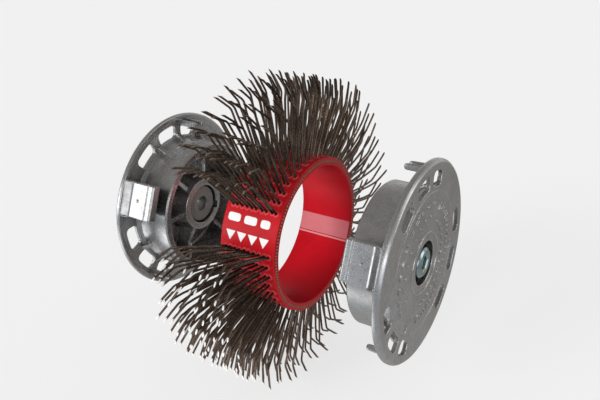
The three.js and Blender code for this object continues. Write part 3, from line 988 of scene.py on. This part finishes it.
def build_row(k):
    parts = [wire(is_end_row(k), x, degrees) for x, degrees in wires[k]]
    index = []
    for _, faces in parts:
        index += [0] * (len(faces) - 1) + [1]
    # crown bar under the outer ply, which joins the wires of the row
    crown = soft_block(rounded(rect(-9.7, 9.7, 27.95, 28.6, low=0.2), 2), 0.7, edge=0.15, steps=2)
    parts.append(to_belt(turn(crown, row_angle(k))))
    index += [0] * len(crown[1])
    row = make(f"bristle_row_{k + 1:02d}", join(parts), [MAT_WIRE, MAT_CUT], index)
    row.data.set_sharp_from_angle(angle=50 * DEG)
    register(row, "belt", f"wire_row_{k + 1:02d}")


for k in range(ROWS):
    build_row(k)


# -------------------------------------------------------------------- floor
def pale_floor():
    """Diffuse grey that also glows, but only for camera and diffuse rays."""
    material = bpy.data.materials.new("pale floor")
    material.use_nodes = True
    material.node_tree.nodes.clear()
    g = Graph(material.node_tree)
    rays = g.add("ShaderNodeLightPath").outputs
    seen = g.calc("MAXIMUM", rays["Is Camera Ray"], rays["Is Diffuse Ray"])
    glow_strength = 0.712
    glow = g.add("ShaderNodeEmission", Color=(1, 1, 1),
                 Strength=g.calc("MULTIPLY", seen, glow_strength))
    diffuse = g.add("ShaderNodeBsdfDiffuse", Color=(0.24, 0.24, 0.24))
    both = g.add("ShaderNodeAddShader", diffuse.outputs[0], glow.outputs[0])
    g.add("ShaderNodeOutputMaterial", Surface=both.outputs[0])
    return material


bpy.ops.mesh.primitive_plane_add(size=12.0, location=(0, 0, cad_lo.z - 0.6 * MM))
floor = bpy.context.object
floor.name = "floor"
floor.data.materials.append(pale_floor())
floor.visible_glossy = False


# -------------------------------------------------------------------- world
def grey(value, warm=0.0):
    return value * (1 + warm), value, value * (1 - warm)


# what glossy rays see: (height of the direction, -1 down to 1 up; colour)
FRONT_SKY = [(-1, grey(.40, -.03)), (-.8, grey(.34, -.05)), (-.5, grey(.30, -.04)),
             (-.2, (.22, .245, .28)), (.03, (.17, .205, .26)), (.17, (.18, .205, .25)),
             (.30, grey(.24, -.03)), (.45, grey(.21, .03)), (.75, grey(.20, .05)),
             (1, grey(.16))]        # towards -Y
BACK_SKY = [(-1, grey(.36)), (-.6, grey(.29, .02)), (-.35, grey(.215, .03)),
            (-.1, grey(.33, .03)), (.1, grey(.55)), (.3, grey(.38)), (.6, grey(.22, .04)),
            (1, grey(.16))]         # towards +Y
# soft round panels: direction, angle of the full part, angle where it ends, colour
PANELS = [((-.70, -.71, .06), 10, 16, (2.3, 2.3, 2.3)),
          ((-.68, -.45, -.57), 8, 20, (.62, .64, .66)),
          ((-.52, -.52, -.68), 5, 15, (.85, .85, .85)),
          ((-.80, .20, -.45), 10, 28, (.7, .7, .7)),
          ((.75, .35, .30), 8, 22, (1.2, 1.2, 1.2)),
          ((.32, -.92, .18), 7, 18, (1.3, 1.3, 1.3)),
          ((.86, -.50, .10), 7, 20, (1.5, 1.5, 1.5))]


def height_ramp(g, height, stops):
    node = g.add("ShaderNodeValToRGB", Fac=g.remap(height, over=(-1, 1)))
    ramp = node.color_ramp
    while len(ramp.elements) > 1:
        ramp.elements.remove(ramp.elements[-1])
    ramp.elements[0].position = 0.0
    ramp.elements[0].color = (*stops[0][1], 1)
    for z, colour in stops[1:]:
        ramp.elements.new((z + 1) / 2).color = (*colour, 1)
    return node.outputs["Color"]


def add_panel(g, base, direction, towards, full, end, colour):
    unit = g.add("ShaderNodeVectorMath", direction, operation="NORMALIZE").outputs[0]
    dot = g.add("ShaderNodeVectorMath", unit, Vector(towards).normalized(),
                operation="DOT_PRODUCT")
    inside = g.remap(dot.outputs["Value"], over=(math.cos(end * DEG), math.cos(full * DEG)),
                     interpolation_type="SMOOTHSTEP")
    return g.mix(inside, base, colour, blend="ADD")


def build_world():
    """Panels and sky for glossy rays, an even grey for the camera, dim white for the rest."""
    world = bpy.data.worlds.new("studio")
    scene.world = world
    world.use_nodes = True
    world.node_tree.nodes.clear()
    g = Graph(world.node_tree)
    direction = g.add("ShaderNodeTexCoord").outputs["Generated"]
    axes = g.add("ShaderNodeSeparateXYZ", direction).outputs
    front = g.remap(axes["Y"], over=(0.35, -0.35), interpolation_type="SMOOTHSTEP")
    sky = g.mix(front, height_ramp(g, axes["Z"], BACK_SKY), height_ramp(g, axes["Z"], FRONT_SKY))
    for panel in PANELS:
        sky = add_panel(g, sky, direction, *panel)

    def background(**settings):
        return g.add("ShaderNodeBackground", **settings).outputs[0]

    rays = g.add("ShaderNodeLightPath").outputs
    light = g.add("ShaderNodeMixShader", rays["Is Glossy Ray"],
                  background(Color=(0.98, 0.99, 1.0), Strength=0.45),
                  background(Color=sky, Strength=1.0))
    view = g.add("ShaderNodeMixShader", rays["Is Camera Ray"], light.outputs[0],
                 background(Color=(0.871, 0.871, 0.871)))
    g.add("ShaderNodeOutputWorld", Surface=view.outputs[0])


build_world()


# ------------------------------------------------------------------- lights
def sun_light(name, location, energy, angle, color=(1, 1, 1)):
    """Sun that shines from the location towards the origin; angle is its size in degrees."""
    sun = bpy.data.lights.new(name, "SUN")
    sun.energy, sun.angle, sun.color = energy, angle * DEG, color
    ob = bpy.data.objects.new(name, sun)
    scene.collection.objects.link(ob)
    ob.location = location
    ob.rotation_euler = (-ob.location).to_track_quat("-Z", "Y").to_euler()
    ob.visible_glossy = False


sun_light("key", location=(-0.45, -1.0, 0.42), energy=1.9, angle=26, color=(1.0, 0.99, 0.97))
sun_light("fill", location=(0.45, -0.55, 0.02), energy=1.26, angle=39)
for ob in (outer_ply, lips, inner_ply):
    ob.visible_glossy = False      # the plastic belt shows no clear mirror image in the castings

# ------------------------------------------------------------------- camera
AZIMUTH, ELEVATION = 32.0 * DEG, 22.8 * DEG     # azimuth from -Y towards +X
DISTANCE = 251.0
SHIFT_RIGHT, SHIFT_UP = 4.70, 10.2              # across the view, from the origin
SENSOR, LENS = 36.0, 39.0


def build_camera():
    forward = Vector((-math.sin(AZIMUTH) * math.cos(ELEVATION),
                      math.cos(AZIMUTH) * math.cos(ELEVATION), -math.sin(ELEVATION)))
    right = forward.cross(Vector((0, 0, 1))).normalized()
    up = right.cross(forward)
    position = (-forward * DISTANCE + right * SHIFT_RIGHT + up * SHIFT_UP) * MM
    data = bpy.data.cameras.new("camera")
    data.sensor_width, data.lens = SENSOR, LENS
    data.clip_start, data.clip_end = 0.01, 50
    camera = bpy.data.objects.new("camera", data)
    scene.collection.objects.link(camera)
    axes = Matrix((right, up, -forward)).transposed().to_4x4()
    camera.matrix_world = Matrix.Translation(position) @ axes
    scene.camera = camera


build_camera()
scene.view_settings.view_transform = "Standard"
scene.view_settings.look = "None"
scene.view_settings.exposure = 0.0
